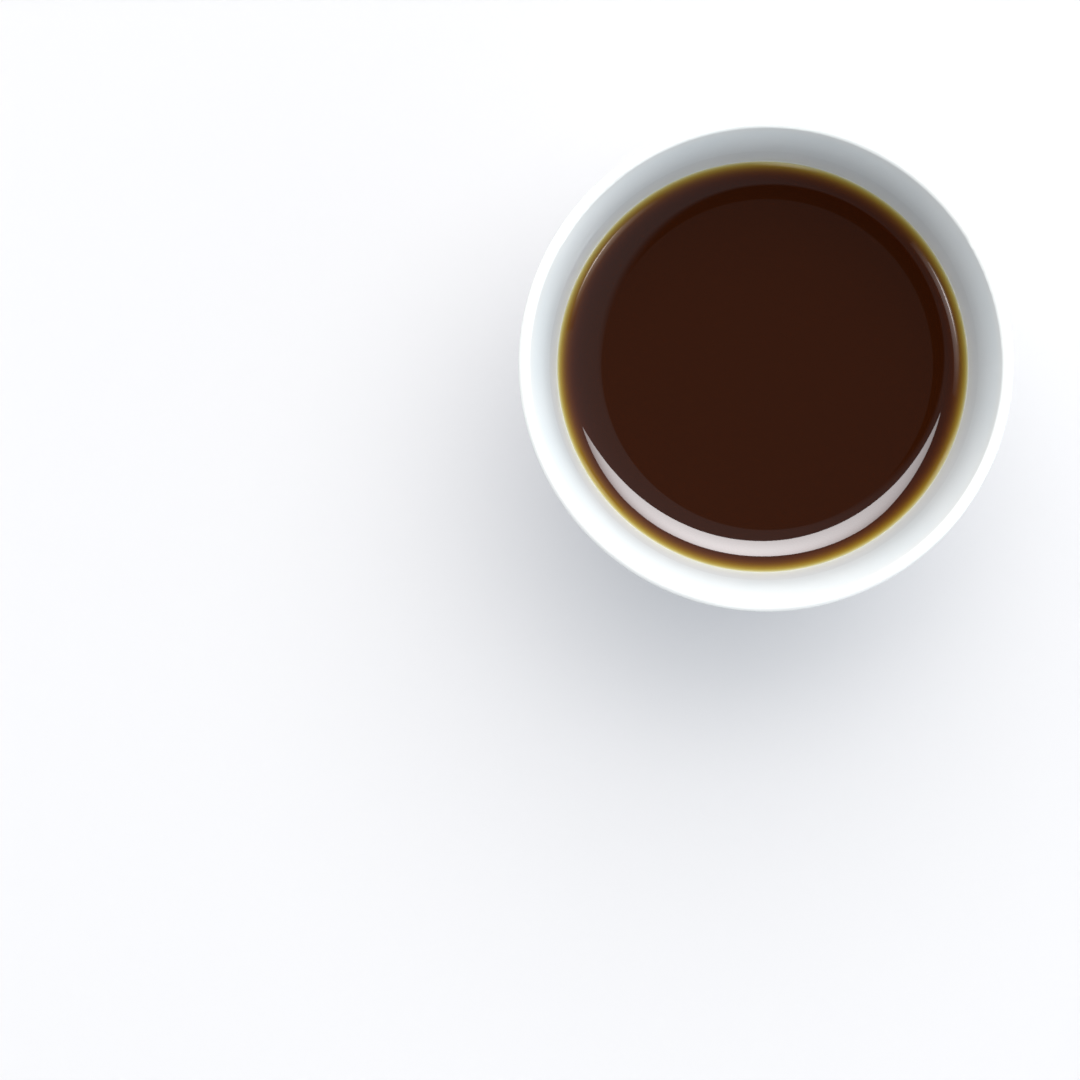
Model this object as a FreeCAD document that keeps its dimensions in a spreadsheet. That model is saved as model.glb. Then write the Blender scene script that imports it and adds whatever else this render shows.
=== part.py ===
import FreeCAD, Part
import math
import os
import Sketcher

# A handleless porcelain cup filled with brewed tea.
# Millimetres, +Z up. The origin is on the cup's axis, in the plane that its foot ring stands on.
# Both pieces are turned about Z. Their profiles are drawn on the XZ plane, so in a profile X is
# a radius and Y is a height.

SIZES = {
    # overall
    "rim_radius": 40.0,  # widest point of the lip
    "cup_height": 58.0,  # top of the lip
    # lip and wall
    "lip_thickness": 2.0,  # the lip is fully round
    "flare_radius": 36.0,  # outside hollow that turns the wall out to the lip: inside, one lip wider
    "flare_below_rim": 17.6,  # level of the flare's centre
    "inner_lean": 12.5,  # degrees from upright, below the flare
    "outer_lean": 10.5,  # degrees from upright: less than inside, so the wall thickens downwards
    # inside bowl and outside belly, each one curve that ends tangent to its wall
    "floor_height": 6.0,  # lowest point of the inside
    "floor_radius": 3.7,  # level middle of the floor, over whose edge both curves begin
    "belly_depth": 4.5,  # how far below the floor the belly's curve would begin, inside the foot ring
    # foot ring
    "foot_radius": 18.0,  # outer edge of the land that it stands on
    "foot_width": 2.8,  # width of the land
    "foot_lean": 8.0,  # degrees that the ring's outside leans out upwards
    "recess_height": 2.2,  # underside of the cup, inside the ring
    "recess_lean": 20.0,  # degrees that the ring's inside leans in upwards
    "land_rounding": 0.6,  # both edges of the land
    "waist_rounding": 2.0,  # hollow between the foot ring and the belly
    "recess_rounding": 1.0,  # hollow between the foot ring and the underside
    # tea
    "tea_below_rim": 15.0,  # its edge on the straight wall, below the top of the lip
    "meniscus_rise": 2.0,  # how far that edge is above the flat part of the surface
    "meniscus_radius": 5.2,  # hollow curve from the flat surface up to the wall
}

H_AXIS, V_AXIS = -1, -2
START, END, CENTRE = 1, 2, 3
FLARE_RADIUS = {"inner": "sizes.flare_radius + sizes.lip_thickness", "outer": "sizes.flare_radius"}
FLARE_LEVEL = "sizes.cup_height - sizes.flare_below_rim"
SAME_PLACE = 1e-4  # mm within which an edge is taken to pass through a corner

document = FreeCAD.newDocument("tea_cup")
sheet = document.addObject("Spreadsheet::Sheet", "sizes")
for row, (alias, value) in enumerate(SIZES.items(), start=1):
    sheet.set(f"A{row}", alias)
    sheet.set(f"B{row}", str(value))
    sheet.setAlias(f"B{row}", alias)
document.recompute()


def size(alias):
    """A driving size, read back from the sheet."""
    return float(getattr(sheet, alias))


def point(radius, height):
    return FreeCAD.Vector(radius, height, 0)


def polar(centre, radius, degrees):
    """The point of a circle at an angle from the radius axis."""
    turn = math.radians(degrees)
    return centre + point(radius * math.cos(turn), radius * math.sin(turn))


class Profile:
    """A sketch on a body's XZ plane. Curves are drawn in their place, then tied and measured."""

    def __init__(self, body, name):
        self.sketch = body.newObject("Sketcher::SketchObject", name)
        plane = next(f for f in body.Origin.OriginFeatures if f.Role == "XZ_Plane")
        self.sketch.AttachmentSupport = [(plane, "")]
        self.sketch.MapMode = "FlatFace"

    def line(self, start, end):
        return self.sketch.addGeometry(Part.LineSegment(start, end), False)

    def arc(self, centre, radius, first, last):
        """An arc, anticlockwise from the first angle to the last, in degrees."""
        circle = Part.Circle(centre, FreeCAD.Vector(0, 0, 1), radius)
        arc = Part.ArcOfCircle(circle, math.radians(first), math.radians(last))
        return self.sketch.addGeometry(arc, False)

    def guide(self, curve):
        """A construction curve, which others are tangent to."""
        return self.sketch.addGeometry(curve, True)

    def guide_circle(self, centre, radius):
        return self.guide(Part.Circle(centre, FreeCAD.Vector(0, 0, 1), radius))

    def tie(self, kind, *ends):
        self.sketch.addConstraint(Sketcher.Constraint(kind, *ends))

    def measure(self, name, expression, kind, *ends):
        """Binds a dimension to the sheet. An angle is drawn in radians and bound in degrees."""
        value = float(self.sketch.evalExpression(expression))
        drawn = math.radians(value) if kind == "Angle" else value
        index = self.sketch.addConstraint(Sketcher.Constraint(kind, *ends, drawn))
        self.sketch.renameConstraint(index, name)
        self.sketch.setExpression(f"Constraints.{name}", expression)

    def turned(self, body, name):
        """The solid of revolution about Z."""
        document.recompute()
        revolution = body.newObject("PartDesign::Revolution", name)
        revolution.Profile = self.sketch
        revolution.ReferenceAxis = (self.sketch, ["V_Axis"])
        revolution.Angle = 360
        self.sketch.Visibility = False
        document.recompute()
        return revolution


def lip_centre():
    lip = size("lip_thickness") / 2
    return point(size("rim_radius") - lip, size("cup_height") - lip)


def flare_lean():
    """How far the wall leans out where it meets the lip, in degrees."""
    drop = size("flare_below_rim") - size("lip_thickness") / 2
    return math.degrees(math.asin(drop / (size("flare_radius") + size("lip_thickness") / 2)))


def flare(side):
    """Centre and radius of the flare. Inside and outside are concentric and touch the lip's circle."""
    reach = size("flare_radius") + size("lip_thickness") / 2
    radius = size("flare_radius") + (size("lip_thickness") if side == "inner" else 0)
    return polar(lip_centre(), reach, -flare_lean()), radius


def wall_top(side):
    """Where the straight wall ends and the flare begins."""
    return polar(*flare(side), 180 - size(f"{side}_lean"))


def wall_curve(side, level):
    """Centre and radius of the curve from a level, over the floor's edge, to the leaning wall."""
    top, turn = wall_top(side), math.radians(size(f"{side}_lean"))
    across = (top.x - size("floor_radius")) * math.cos(turn)
    down = (top.y - level) * math.sin(turn)
    radius = (across - down) / (1 - math.sin(turn))
    return point(size("floor_radius"), level + radius), radius


def measure_lip(profile, lip):
    profile.measure("lip_radius", "sizes.lip_thickness / 2", "Radius", lip)
    profile.measure("lip_reach", "sizes.rim_radius - sizes.lip_thickness / 2", "DistanceX", lip, CENTRE)
    profile.measure("lip_height", "sizes.cup_height - sizes.lip_thickness / 2", "DistanceY", lip, CENTRE)


def measure_flare(profile, side, curve):
    profile.measure(f"{side}_flare_radius", FLARE_RADIUS[side], "Radius", curve)
    profile.measure(f"{side}_flare_level", FLARE_LEVEL, "DistanceY", curve, CENTRE)


def draw_flare(profile, side, wall, lip, lip_end):
    """The curve from the top of a wall out to the lip."""
    curve = profile.arc(*flare(side), 180 - flare_lean(), 180 - size(f"{side}_lean"))
    measure_flare(profile, side, curve)
    profile.tie("Tangent", curve, START, lip, lip_end)
    profile.tie("Tangent", wall, END, curve, END)


def draw_inside(profile, top):
    """The curve that the cup and the tea share: floor, bowl and wall, up to the point given."""
    centre, radius = wall_curve("inner", size("floor_height"))
    last = 360 - size("inner_lean")
    floor = profile.line(point(0, size("floor_height")), polar(centre, radius, 270))
    bowl = profile.arc(centre, radius, 270, last)
    wall = profile.line(polar(centre, radius, last), top)
    profile.tie("PointOnObject", floor, START, V_AXIS)
    profile.tie("Horizontal", floor)
    profile.tie("Tangent", floor, END, bowl, START)
    profile.tie("Tangent", bowl, END, wall, START)
    profile.measure("floor_height", "sizes.floor_height", "DistanceY", floor, START)
    profile.measure("floor_radius", "sizes.floor_radius", "DistanceX", floor, END)
    profile.measure("inner_lean", "90 - sizes.inner_lean", "Angle", wall)
    return floor, wall


def round_edges(body, base, name, alias, corners):
    """Rounds the circular edges that pass through the given profile corners."""
    found = [
        f"Edge{number}"
        for number, edge in enumerate(base.Shape.Edges, start=1)
        for corner in corners
        if isinstance(edge.Curve, Part.Circle)
        and abs(edge.Curve.Radius - corner.x) < SAME_PLACE
        and abs(edge.Curve.Center.z - corner.y) < SAME_PLACE
    ]
    if len(found) != len(corners):
        raise RuntimeError(f"{name}: {len(found)} edges found for {len(corners)} corners")
    fillet = body.newObject("PartDesign::Fillet", name)
    fillet.Base = (base, found)
    fillet.setExpression("Radius", f"sizes.{alias}")
    document.recompute()
    return fillet


def draw_belly(profile):
    """The outside, from the flare down its leaning wall and round the belly to the waist."""
    level = size("floor_height") - size("belly_depth")
    centre, radius = wall_curve("outer", level)
    waist_angle = 270 + math.degrees(math.asin((size("foot_radius") - centre.x) / radius))
    belly = profile.arc(centre, radius, waist_angle, 360 - size("outer_lean"))
    wall = profile.line(polar(centre, radius, -size("outer_lean")), wall_top("outer"))
    start = profile.guide(Part.LineSegment(point(0, level), polar(centre, radius, 270)))
    profile.tie("Tangent", belly, END, wall, START)
    profile.tie("PointOnObject", start, START, V_AXIS)
    profile.tie("Horizontal", start)
    profile.tie("Tangent", start, belly)
    profile.measure("outer_lean", "90 - sizes.outer_lean", "Angle", wall)
    profile.measure("belly_level", "sizes.floor_height - sizes.belly_depth", "DistanceY", start, START)
    profile.measure("belly_start", "sizes.floor_radius", "DistanceX", start, END)
    profile.measure("belly_centre", "sizes.floor_radius", "DistanceX", belly, CENTRE)
    return wall, belly, polar(centre, radius, waist_angle)


def draw_foot(profile, belly, waist, floor):
    """The foot ring, the underside inside it, and the axis up to the inside's floor."""
    land_inner = point(size("foot_radius") - size("foot_width"), 0)
    land_outer = point(size("foot_radius"), 0)
    recess = point(land_inner.x, size("recess_height"))
    outside = profile.line(land_outer, waist)
    land = profile.line(land_inner, land_outer)
    inside = profile.line(land_inner, recess)
    underside = profile.line(point(0, recess.y), recess)
    core = profile.line(point(0, recess.y), point(0, size("floor_height")))
    profile.tie("Coincident", outside, END, belly, START)
    profile.tie("Coincident", land, END, outside, START)
    profile.tie("Coincident", land, START, inside, START)
    profile.tie("Coincident", inside, END, underside, END)
    profile.tie("Coincident", underside, START, core, START)
    profile.tie("Coincident", core, END, floor, START)
    profile.tie("PointOnObject", land, START, H_AXIS)
    profile.tie("PointOnObject", underside, START, V_AXIS)
    profile.tie("Horizontal", land)
    profile.tie("Horizontal", underside)
    profile.measure("foot_radius", "sizes.foot_radius", "DistanceX", land, END)
    profile.measure("foot_width", "sizes.foot_width", "DistanceX", land, START, land, END)
    profile.measure("foot_lean", "90 - sizes.foot_lean", "Angle", outside)
    profile.measure("recess_height", "sizes.recess_height", "DistanceY", underside, START)
    profile.measure("recess_lean", "90 + sizes.recess_lean", "Angle", inside)
    return land, underside


def make_cup():
    body = document.addObject("PartDesign::Body", "cup")
    body.Label = "cup"
    profile = Profile(body, "cup_profile")

    lip = profile.arc(lip_centre(), size("lip_thickness") / 2, -flare_lean(), 180 - flare_lean())
    measure_lip(profile, lip)
    floor, inner_wall = draw_inside(profile, wall_top("inner"))
    outer_wall, belly, waist = draw_belly(profile)
    draw_flare(profile, "inner", inner_wall, lip, END)
    draw_flare(profile, "outer", outer_wall, lip, START)
    land, underside = draw_foot(profile, belly, waist, floor)

    solid = profile.turned(body, "cup_turned")
    corner = profile.sketch.getPoint
    land_edges = [corner(land, START), corner(land, END)]
    solid = round_edges(body, solid, "land_edges", "land_rounding", land_edges)
    solid = round_edges(body, solid, "waist", "waist_rounding", [corner(belly, START)])
    round_edges(body, solid, "recess_edge", "recess_rounding", [corner(underside, END)])
    return body


def make_tea():
    """The drink fills the bowl, and its surface turns up in a meniscus where it meets the wall."""
    body = document.addObject("PartDesign::Body", "tea")
    body.Label = "tea"
    profile = Profile(body, "tea_profile")

    top, edge_height = wall_top("inner"), size("cup_height") - size("tea_below_rim")
    edge_radius = top.x - (top.y - edge_height) * math.tan(math.radians(size("inner_lean")))
    floor, wall = draw_inside(profile, point(edge_radius, edge_height))
    lip = profile.guide_circle(lip_centre(), size("lip_thickness") / 2)
    flare_circle = profile.guide_circle(*flare("inner"))
    measure_lip(profile, lip)
    measure_flare(profile, "inner", flare_circle)
    profile.tie("Tangent", flare_circle, lip)
    profile.tie("Tangent", wall, flare_circle)

    rise, hollow = size("meniscus_rise"), size("meniscus_radius")
    level = edge_height - rise
    steepness = math.acos(1 - rise / hollow)
    hollow_at = point(edge_radius - hollow * math.sin(steepness), level + hollow)
    meniscus = profile.arc(hollow_at, hollow, 270, 270 + math.degrees(steepness))
    surface = profile.line(point(0, level), polar(hollow_at, hollow, 270))
    core = profile.line(point(0, size("floor_height")), point(0, level))
    profile.tie("Coincident", meniscus, END, wall, END)
    profile.tie("Tangent", surface, END, meniscus, START)
    profile.tie("Horizontal", surface)
    profile.tie("PointOnObject", surface, START, V_AXIS)
    profile.tie("Coincident", core, END, surface, START)
    profile.tie("Coincident", core, START, floor, START)
    edge_formula = "sizes.cup_height - sizes.tea_below_rim"
    profile.measure("edge_height", edge_formula, "DistanceY", wall, END)
    profile.measure("tea_level", f"{edge_formula} - sizes.meniscus_rise", "DistanceY", surface, START)
    profile.measure("meniscus_radius", "sizes.meniscus_radius", "Radius", meniscus)

    profile.turned(body, "tea_turned")
    return body


bodies = [make_cup(), make_tea()]
document.recompute()

for item in document.Objects:
    if "Invalid" in item.State or "Error" in item.State:
        raise RuntimeError(f"{item.Label} failed: {item.State}")
for body in bodies:
    if body.Shape.isNull() or not body.Shape.isValid() or len(body.Shape.Solids) != 1:
        raise RuntimeError(f"{body.Label} is not one valid solid")

os.makedirs("parts", exist_ok=True)
for body in bodies:
    body.Shape.exportStep(f"parts/{body.Label}.step")
    print(f"{body.Label}: {body.Shape.Volume / 1000:.2f} cm3")
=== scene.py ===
import math

import bmesh
import bpy
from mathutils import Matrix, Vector


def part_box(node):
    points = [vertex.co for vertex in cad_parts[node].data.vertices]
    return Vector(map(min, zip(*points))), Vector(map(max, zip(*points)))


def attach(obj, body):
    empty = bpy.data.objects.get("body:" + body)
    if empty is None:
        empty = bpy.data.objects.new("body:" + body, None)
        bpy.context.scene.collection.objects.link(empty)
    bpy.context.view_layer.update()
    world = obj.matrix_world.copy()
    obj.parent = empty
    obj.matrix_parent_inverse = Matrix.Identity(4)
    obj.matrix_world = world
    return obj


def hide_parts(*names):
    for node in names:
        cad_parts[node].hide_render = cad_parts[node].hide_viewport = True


# A handleless porcelain cup of brewed tea, seen from straight above. Metres, +Z up, cup at the origin.
# The cup is the CAD node with a glaze. The tea is a piece of its own, whose surface climbs the wall.

MM = 0.001

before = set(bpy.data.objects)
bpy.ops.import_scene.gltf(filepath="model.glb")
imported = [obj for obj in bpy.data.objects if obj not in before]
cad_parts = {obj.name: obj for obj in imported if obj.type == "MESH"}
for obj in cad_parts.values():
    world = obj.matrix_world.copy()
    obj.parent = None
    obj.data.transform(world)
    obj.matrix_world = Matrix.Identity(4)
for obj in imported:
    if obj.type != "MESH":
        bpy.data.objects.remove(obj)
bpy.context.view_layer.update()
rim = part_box("cup")[1]
tea_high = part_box("tea")[1]


# ---------------------------------------------------------------- camera
CAMERA_HEIGHT = 1.007
CAMERA_ASIDE = Vector((-0.0365, -0.0284))  # the cup stands to the right of and above the middle
LENS_MM, SENSOR_MM = 196.0, 36.0


def add_camera():
    camera = bpy.data.objects.new("camera", bpy.data.cameras.new("camera"))
    camera.data.lens = LENS_MM
    camera.data.sensor_width = SENSOR_MM
    camera.data.clip_end = 20.0
    camera.location = (*CAMERA_ASIDE, CAMERA_HEIGHT)
    bpy.context.scene.collection.objects.link(camera)
    bpy.context.scene.camera = camera


# ---------------------------------------------------------------- node graphs
class Graph:
    """A material's nodes, from coordinates in millimetres to one Principled shader."""

    def __init__(self, name):
        self.material = bpy.data.materials.new(name)
        self.material.use_nodes = True
        self.nodes = self.material.node_tree.nodes
        self.links = self.material.node_tree.links
        self.shader = self.nodes["Principled BSDF"]
        place = self.nodes.new("ShaderNodeTexCoord")
        self.place = self.add("VectorMath", "SCALE", place.outputs["Object"], scale=1 / MM)

    def put(self, socket, value):
        """Links a node's output to a socket, or sets it to a plain value."""
        if isinstance(value, bpy.types.NodeSocket):
            self.links.new(value, socket)
        else:
            socket.default_value = value

    def add(self, kind, operation, *values, scale=None):
        """A Math or Vector Math node's result."""
        node = self.nodes.new("ShaderNode" + kind)
        node.operation = operation
        for socket, value in zip(node.inputs, values):
            self.put(socket, value)
        if scale is not None:
            node.inputs["Scale"].default_value = scale
        return node.outputs["Value" if operation in ("LENGTH", "DOT_PRODUCT") else 0]

    def math(self, operation, *values):
        return self.add("Math", operation, *values)

    def axes(self):
        """X, Y and Z in millimetres."""
        node = self.nodes.new("ShaderNodeSeparateXYZ")
        self.put(node.inputs[0], self.place)
        return node.outputs

    def radius(self):
        """Distance from the cup's axis in millimetres."""
        x, y, _ = self.axes()
        return self.math("SQRT", self.math("ADD", self.math("MULTIPLY", x, x), self.math("MULTIPLY", y, y)))

    def noise(self, size_mm, detail=2.0):
        """Smooth noise from 0 to 1, with features of about the given size."""
        node = self.nodes.new("ShaderNodeTexNoise")
        node.inputs["Scale"].default_value = 1 / size_mm
        node.inputs["Detail"].default_value = detail
        self.put(node.inputs["Vector"], self.place)
        return node.outputs["Fac"]

    def remap(self, value, from_low, from_high, to_low=0.0, to_high=1.0, smooth=False):
        node = self.nodes.new("ShaderNodeMapRange")
        node.interpolation_type = "SMOOTHSTEP" if smooth else "LINEAR"
        for name, number in (
            ("Value", value),
            ("From Min", from_low),
            ("From Max", from_high),
            ("To Min", to_low),
            ("To Max", to_high),
        ):
            self.put(node.inputs[name], number)
        return node.outputs["Result"]

    def mix(self, share, first, second):
        """A colour between two."""
        node = self.nodes.new("ShaderNodeMix")
        node.data_type = "RGBA"
        sockets = {s.identifier: s for s in node.inputs}
        self.put(sockets["Factor_Float"], share)
        self.put(sockets["A_Color"], first)
        self.put(sockets["B_Color"], second)
        return next(s for s in node.outputs if s.identifier == "Result_Color")

    def bump(self, height, depth_mm, under=None):
        node = self.nodes.new("ShaderNodeBump")
        node.inputs["Distance"].default_value = depth_mm * MM
        self.put(node.inputs["Height"], height)
        if under is not None:
            self.put(node.inputs["Normal"], under)
        return node.outputs["Normal"]

    def finish(self, **inputs):
        for name, value in inputs.items():
            self.put(self.shader.inputs[name.replace("_", " ")], value)
        return self.material


# ---------------------------------------------------------------- porcelain
GLAZE = (0.830, 0.838, 0.838, 1)
GLAZE_COOL = (0.790, 0.812, 0.820, 1)  # where it lies thick
GLAZE_THIN = (0.850, 0.845, 0.830, 1)  # over the lip
BARE = (0.700, 0.670, 0.615, 1)  # unglazed porcelain
LAND_TOP_MM = 0.45  # how far up the foot ring the glaze was wiped off
WAIST_MM = (4.0, 8.5)  # heights between which glaze gathers above the foot ring


def porcelain():
    graph = Graph("porcelain")
    height = graph.axes()[2]
    cloud = graph.noise(22.0, 3.0)
    glaze = graph.mix(graph.remap(cloud, 0.35, 0.65), GLAZE, GLAZE_COOL)
    lip = graph.remap(height, rim.z / MM - 2.5, rim.z / MM, smooth=True)
    glaze = graph.mix(lip, glaze, GLAZE_THIN)
    middle = sum(WAIST_MM) / 2
    from_waist = graph.math("ABSOLUTE", graph.math("SUBTRACT", height, middle))
    pooled = graph.remap(from_waist, 0.0, middle - WAIST_MM[0], 0.8, 0.0, smooth=True)
    glaze = graph.mix(pooled, glaze, GLAZE_COOL)

    ragged = graph.math("ADD", height, graph.remap(graph.noise(2.5), 0.3, 0.7, -0.12, 0.12))
    bare = graph.remap(ragged, LAND_TOP_MM, LAND_TOP_MM + 0.15, 1.0, 0.0, smooth=True)
    grain = graph.noise(0.35, 4.0)
    bisque = graph.mix(graph.remap(grain, 0.3, 0.7), BARE, tuple(c * 0.9 for c in BARE[:3]) + (1,))
    colour = graph.mix(bare, glaze, bisque)

    shine = graph.remap(graph.noise(6.0), 0.3, 0.7, 0.05, 0.10)
    roughness = graph.remap(bare, 0.0, 1.0, shine, 0.75)
    wavy = graph.bump(graph.noise(9.0, 1.0), 0.05)
    peel = graph.bump(graph.noise(1.2), 0.003, wavy)
    gritty = graph.bump(graph.math("MULTIPLY", grain, bare), 0.03, peel)
    return graph.finish(Base_Color=colour, Roughness=roughness, Normal=gritty)


# ---------------------------------------------------------------- tea
CAPILLARY_MM = 2.5  # capillary length of tea: how far a wall bends its surface
REACH = 0.15 * MM  # the tea's piece goes this far into the porcelain, so no gap shows
MENISCUS_MM = 2.0  # how far the tea climbs the wall above its level
FALL_MM = 0.75 * CAPILLARY_MM  # from the wall to where that is down to about a third
LOWEST = 1e-4  # share of that rise at which the surface counts as level
EDGE_STEPS, TURN_STEPS = 56, 256
WALL_STEP = 0.7 * MM  # least distance between two rings of the tea's side
TEA_DEEP = (0.0205, 0.0037, 0.0002)  # too deep to see the porcelain
TEA_CLEAR = (0.46, 0.465, 0.39)  # so thin that the porcelain shows
ABSORPTION_PER_MM = (0.36, 0.54, 1.50)  # of red, green and blue light, seen from above


def wall_outline():
    """(radius, height) down the CAD tea's wall and across its floor, from its edge to the axis."""
    below = tea_high.z - 2 * CAPILLARY_MM * MM  # the meniscus and its own rings end above this
    found = {(round(v.co.xy.length, 6), round(v.co.z, 6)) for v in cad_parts["tea"].data.vertices}
    outline = [(tea_high.x, tea_high.z)]
    for point in sorted((p for p in found if p[1] < below), key=lambda p: (-p[1], -p[0])):
        if math.dist(point, outline[-1]) > WALL_STEP:
            outline.append(point)
    return outline


def meniscus(rise):
    """(distance from the wall, height above the level) of still water against a wall, in metres."""
    length = CAPILLARY_MM * MM

    def distance(height):
        return length * (
            math.acosh(2 * length / height)
            - math.acosh(2 * length / rise)
            + math.sqrt(4 - (rise / length) ** 2)
            - math.sqrt(4 - (height / length) ** 2)
        )

    heights = [rise * LOWEST ** (step / EDGE_STEPS) for step in range(EDGE_STEPS + 1)]
    return [(distance(height), height) for height in heights]


def lathe(name, profile):
    """A closed mesh turned about Z from (radius, height) points that start and end on the axis."""
    mesh = bmesh.new()
    rings = []
    for radius, height in profile:
        if radius == 0:
            rings.append([mesh.verts.new((0, 0, height))])
            continue
        turns = [2 * math.pi * step / TURN_STEPS for step in range(TURN_STEPS)]
        rings.append([mesh.verts.new((radius * math.cos(t), radius * math.sin(t), height)) for t in turns])
    for lower, upper in zip(rings, rings[1:]):
        for step in range(TURN_STEPS):
            after = (step + 1) % TURN_STEPS
            corners = [lower[step % len(lower)], lower[after % len(lower)]]
            corners += [upper[after % len(upper)], upper[step % len(upper)]]
            mesh.faces.new(list(dict.fromkeys(corners)))
    for face in mesh.faces:
        face.smooth = True
    bmesh.ops.recalc_face_normals(mesh, faces=mesh.faces)
    data = bpy.data.meshes.new(name)
    mesh.to_mesh(data)
    mesh.free()
    piece = bpy.data.objects.new(name, data)
    bpy.context.scene.collection.objects.link(piece)
    return piece


def tea_material(rise, steepness):
    """Tea over white porcelain: it takes light off by the depth of tea above the sloping wall."""
    graph = Graph("tea")
    inward = graph.math("MAXIMUM", graph.math("SUBTRACT", tea_high.x / MM, graph.radius()), 0.0)
    fallen = graph.math("EXPONENT", graph.math("MULTIPLY", inward, -1 / FALL_MM))
    dip = graph.math("MULTIPLY", graph.math("SUBTRACT", 1.0, fallen), rise / MM)
    depth = graph.math("SUBTRACT", graph.math("MULTIPLY", inward, steepness), dip)
    join = graph.nodes.new("ShaderNodeCombineXYZ")
    for socket, taken in zip(join.inputs, ABSORPTION_PER_MM):
        graph.put(socket, graph.math("EXPONENT", graph.math("MULTIPLY", depth, -taken)))
    seen = graph.add("VectorMath", "MULTIPLY", join.outputs[0], TEA_CLEAR)
    colour = graph.add("VectorMath", "ADD", seen, TEA_DEEP)
    graph.shader.inputs["IOR"].default_value = 1.333
    return graph.finish(Base_Color=colour, Roughness=0.02)


def make_tea():
    wall = wall_outline()
    rise = MENISCUS_MM * MM
    level = tea_high.z - rise
    skin = [(radius + REACH if radius else 0.0, height - REACH) for radius, height in reversed(wall)]
    skin[-1] = (tea_high.x + REACH, tea_high.z)
    surface = [(tea_high.x - inward, level + height) for inward, height in meniscus(rise)]
    bottom = [] if skin[0][0] == 0 else [(0.0, skin[0][1])]
    piece = lathe("tea_surface", bottom + skin + surface + [(0.0, level)])
    (r1, z1), (r2, z2) = wall[0], wall[1]
    piece.data.materials.append(tea_material(rise, (z1 - z2) / (r1 - r2)))
    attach(piece, "root")
    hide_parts("tea")


# ---------------------------------------------------------------- room and key light
FLOOR_SIZE = 60.0
FLOOR_COLOUR = (0.46, 0.445, 0.44, 1)
FLOOR_GLOW = (0.86, 0.90, 1.0, 1)  # a little light of its own lifts the shadow, as in the photo
FLOOR_GLOW_STRENGTH = 0.22

# Radiance of the room. Azimuths are degrees from +X and zeniths degrees from +Z.
SKY_TINT = (0.84, 0.93, 1.0)
SKY_LOW, SKY_MIDDLE, SKY_HIGH = 0.48, 0.80, 0.32  # low down, at 30 degrees up, overhead
HORIZON, HORIZON_HEIGHT = 0.40, 0.22  # a brighter band joins the floor to the room
WINDOW_AZIMUTH, WINDOW_ZENITH, WINDOW = 22.0, 62.0, 0.75  # added on one side
DIM_AZIMUTH, DIM_ZENITH, DIM = 230.0, 64.0, 0.75  # share left on the photographer's side
DIM_START = 0.55  # cosine of the angle from there at which the room starts to dim
DARK_AZIMUTH, DARK_ZENITH, DARK = 230.0, 7.0, 0.1  # share left at a dark patch of ceiling
DARK_INNER, DARK_OUTER = 10.0, 13.0  # degrees from its middle

KEY_AZIMUTH, KEY_ZENITH, KEY_WIDTH = 80.0, 27.0, 68.0
KEY_STRENGTH, KEY_COLOUR = 3.1, (1.0, 0.98, 0.945)


def towards(azimuth, zenith):
    """A direction, from its azimuth and zenith in degrees."""
    turn, tilt = math.radians(azimuth), math.radians(zenith)
    return Vector((math.cos(turn) * math.sin(tilt), math.sin(turn) * math.sin(tilt), math.cos(tilt)))


def add_floor():
    half = FLOOR_SIZE / 2
    data = bpy.data.meshes.new("floor")
    corners = [(-half, -half, 0), (half, -half, 0), (half, half, 0), (-half, half, 0)]
    data.from_pydata(corners, [], [(0, 1, 2, 3)])
    floor = bpy.data.objects.new("floor", data)
    bpy.context.scene.collection.objects.link(floor)
    graph = Graph("floor")
    graph.finish(Base_Color=FLOOR_COLOUR, Roughness=0.7)
    graph.finish(Emission_Color=FLOOR_GLOW, Emission_Strength=FLOOR_GLOW_STRENGTH)
    data.materials.append(graph.material)


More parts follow.
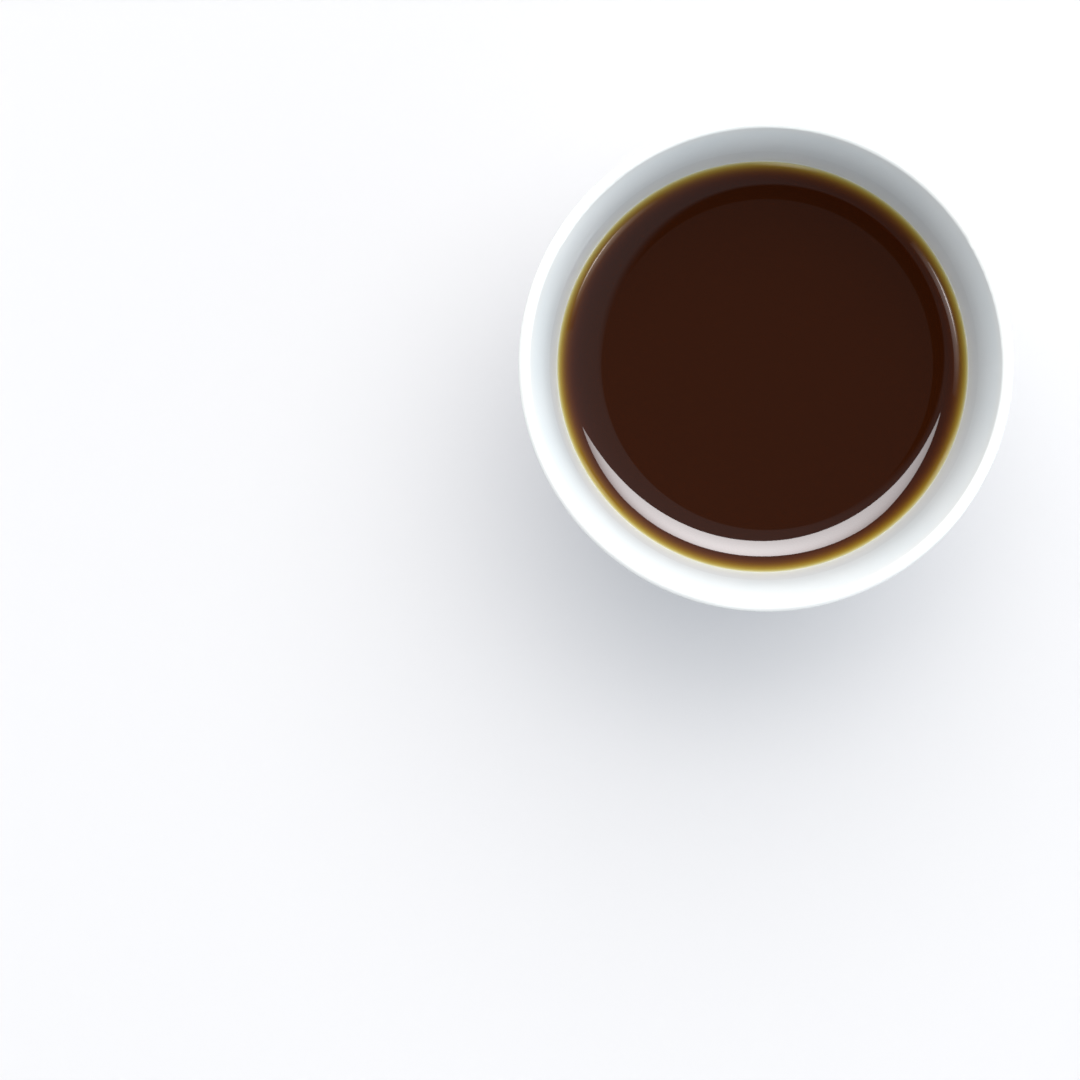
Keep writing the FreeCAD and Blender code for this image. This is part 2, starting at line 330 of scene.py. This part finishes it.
def add_sky():
    """A pale room, brighter towards its window, darker behind the photographer and overhead."""
    world = bpy.data.worlds.new("room")
    world.use_nodes = True
    bpy.context.scene.world = world
    nodes, links = world.node_tree.nodes, world.node_tree.links
    direction = nodes.new("ShaderNodeTexCoord").outputs["Generated"]

    def along(axis):
        node = nodes.new("ShaderNodeVectorMath")
        node.operation = "DOT_PRODUCT"
        node.inputs[1].default_value = axis
        links.new(direction, node.inputs[0])
        return node.outputs["Value"]

    def ramp(value, start, end, low, high):
        node = nodes.new("ShaderNodeMapRange")
        node.interpolation_type = "SMOOTHSTEP"
        for name, number in (("From Min", start), ("From Max", end), ("To Min", low), ("To Max", high)):
            node.inputs[name].default_value = number
        links.new(value, node.inputs["Value"])
        return node.outputs["Result"]

    def combine(operation, first, second):
        node = nodes.new("ShaderNodeMath")
        node.operation = operation
        links.new(first, node.inputs[0])
        links.new(second, node.inputs[1])
        return node.outputs[0]

    height = along((0, 0, 1))
    low = ramp(height, 0.0, 0.5, SKY_LOW - SKY_MIDDLE, 0.0)
    high = ramp(height, 0.3, 1.0, SKY_MIDDLE, SKY_HIGH)
    horizon = ramp(height, 0.0, HORIZON_HEIGHT, HORIZON, 0.0)
    window = ramp(along(towards(WINDOW_AZIMUTH, WINDOW_ZENITH)), 0.0, 1.0, 0.0, WINDOW)
    bright = combine("ADD", combine("ADD", combine("ADD", low, high), horizon), window)

    inner, outer = (math.cos(math.radians(angle)) for angle in (DARK_INNER, DARK_OUTER))
    dark = ramp(along(towards(DARK_AZIMUTH, DARK_ZENITH)), outer, inner, 1.0, DARK)
    dim = ramp(along(towards(DIM_AZIMUTH, DIM_ZENITH)), DIM_START, 1.0, 1.0, DIM)
    background = nodes["Background"]
    background.inputs["Color"].default_value = (*SKY_TINT, 1)
    radiance = combine("MULTIPLY", bright, combine("MULTIPLY", dark, dim))
    links.new(radiance, background.inputs["Strength"])


def add_key():
    """One very soft lamp, so that the shadow has no edge."""
    lamp = bpy.data.objects.new("key", bpy.data.lights.new("key", "SUN"))
    lamp.data.angle = math.radians(KEY_WIDTH)
    lamp.data.energy = KEY_STRENGTH
    lamp.data.color = KEY_COLOUR
    lamp.location = towards(KEY_AZIMUTH, KEY_ZENITH)
    lamp.rotation_euler = lamp.location.to_track_quat("Z", "Y").to_euler()
    lamp.visible_glossy = False
    bpy.context.scene.collection.objects.link(lamp)


# ---------------------------------------------------------------- panels that show in reflections
PANEL_COLOUR = (1.0, 0.97, 0.98, 1)
PANEL_HEIGHT = 1.6
STRIP_HEIGHT = PANEL_HEIGHT - 0.01  # just under its glow, so that the strip hides it
PANEL_STEPS = 24
SOFTBOX = (  # corners of a wide box beyond the cup, rounded at the far side
    (-0.41, 0.166),
    (0.03, 0.258),
    (0.82, 0.300),
    (0.82, 0.50),
    (0.74, 0.70),
    (0.56, 0.81),
    (-0.24, 0.83),
    (-0.38, 0.78),
    (-0.44, 0.65),
)
SKYLIGHT_CENTRE, SKYLIGHT_ZENITH = (0.006, 0.020), 3.96  # what the level tea mirrors to the camera
SKYLIGHT = 0.24
TALL_AZIMUTHS = (35.0, 150.0, 265.0)
TALL_DISTANCE, TALL_WIDTH, TALL_FOOT, TALL_TOP = 2.2, 0.8, 0.1, 1.5


def add_panel(name, corners, middle, edge, reach):
    """A panel whose radiance falls from its middle to its edge, reach metres away."""
    data = bpy.data.meshes.new(name)
    data.from_pydata(corners, [], [tuple(range(len(corners)))])
    panel = bpy.data.objects.new(name, data)
    bpy.context.scene.collection.objects.link(panel)
    material = bpy.data.materials.new(name)
    material.use_nodes = True
    nodes, links = material.node_tree.nodes, material.node_tree.links
    distance = nodes.new("ShaderNodeVectorMath")
    distance.operation = "DISTANCE"
    links.new(nodes.new("ShaderNodeTexCoord").outputs["Object"], distance.inputs[0])
    distance.inputs[1].default_value = sum((Vector(c) for c in corners), Vector()) / len(corners)
    radiance = nodes.new("ShaderNodeMapRange")
    radiance.interpolation_type = "SMOOTHSTEP"
    links.new(distance.outputs["Value"], radiance.inputs["Value"])
    for socket, number in (("From Max", reach), ("To Min", middle), ("To Max", edge)):
        radiance.inputs[socket].default_value = number
    emission = nodes.new("ShaderNodeEmission")
    emission.inputs["Color"].default_value = PANEL_COLOUR
    links.new(radiance.outputs["Result"], emission.inputs["Strength"])
    links.new(emission.outputs[0], nodes["Material Output"].inputs["Surface"])
    data.materials.append(material)
    panel.visible_camera = False
    panel.visible_diffuse = False
    panel.visible_shadow = False
    panel.visible_transmission = False


def band(zeniths, azimuths, height=PANEL_HEIGHT):
    """Corners of a level band between two zeniths and two azimuths, as seen from the tea."""
    first, last = azimuths
    above = height - tea_high.z

    def arc(zenith, start, end):
        turns = [start + (end - start) * step / PANEL_STEPS for step in range(PANEL_STEPS + 1)]
        points = [towards(turn, zenith) for turn in turns]
        return [(v.x / v.z * above, v.y / v.z * above, height) for v in points]

    return arc(zeniths[0], first, last) + arc(zeniths[1], last, first)


def skylight():
    """Corners of a level disc almost overhead."""
    ring = band((SKYLIGHT_ZENITH, SKYLIGHT_ZENITH), (0, 360))[:PANEL_STEPS]
    return [(SKYLIGHT_CENTRE[0] + x, SKYLIGHT_CENTRE[1] + y, z) for x, y, z in ring]


def tall_box(azimuth):
    """Corners of an upright panel that faces the cup."""
    middle = towards(azimuth, 90) * TALL_DISTANCE
    side = towards(azimuth + 90, 90) * TALL_WIDTH / 2
    turns = ((-1, TALL_FOOT), (1, TALL_FOOT), (1, TALL_TOP), (-1, TALL_TOP))
    return [(*(middle + side * turn).xy, z) for turn, z in turns]


def add_panels():
    softbox = [(x, y, PANEL_HEIGHT) for x, y in SOFTBOX]
    add_panel("softbox", softbox, middle=36.0, edge=10.0, reach=0.8)
    add_panel("skylight", skylight(), middle=SKYLIGHT, edge=SKYLIGHT, reach=1.0)
    left_glow = band((29.0, 46.0), (168.0, 220.0))
    left_strip = band((38.6, 41.6), (184.0, 212.0), STRIP_HEIGHT)
    right_glow = band((37.0, 57.0), (303.0, 352.0))
    right_strip = band((49.5, 52.5), (318.0, 343.0), STRIP_HEIGHT)
    add_panel("left_glow", left_glow, middle=4.5, edge=0.6, reach=0.60)
    add_panel("left_strip", left_strip, middle=22.0, edge=3.0, reach=0.36)
    add_panel("right_glow", right_glow, middle=4.0, edge=0.6, reach=0.80)
    add_panel("right_strip", right_strip, middle=20.0, edge=3.0, reach=0.45)
    for number, azimuth in enumerate(TALL_AZIMUTHS):
        add_panel(f"tall_box_{number}", tall_box(azimuth), middle=4.5, edge=0.6, reach=0.55)


# ---------------------------------------------------------------- all together
add_camera()
add_floor()
add_sky()
add_key()
add_panels()
bpy.context.scene.view_settings.view_transform = "Standard"

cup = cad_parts["cup"]
cup.data.materials.clear()
cup.data.materials.append(porcelain())
make_tea()
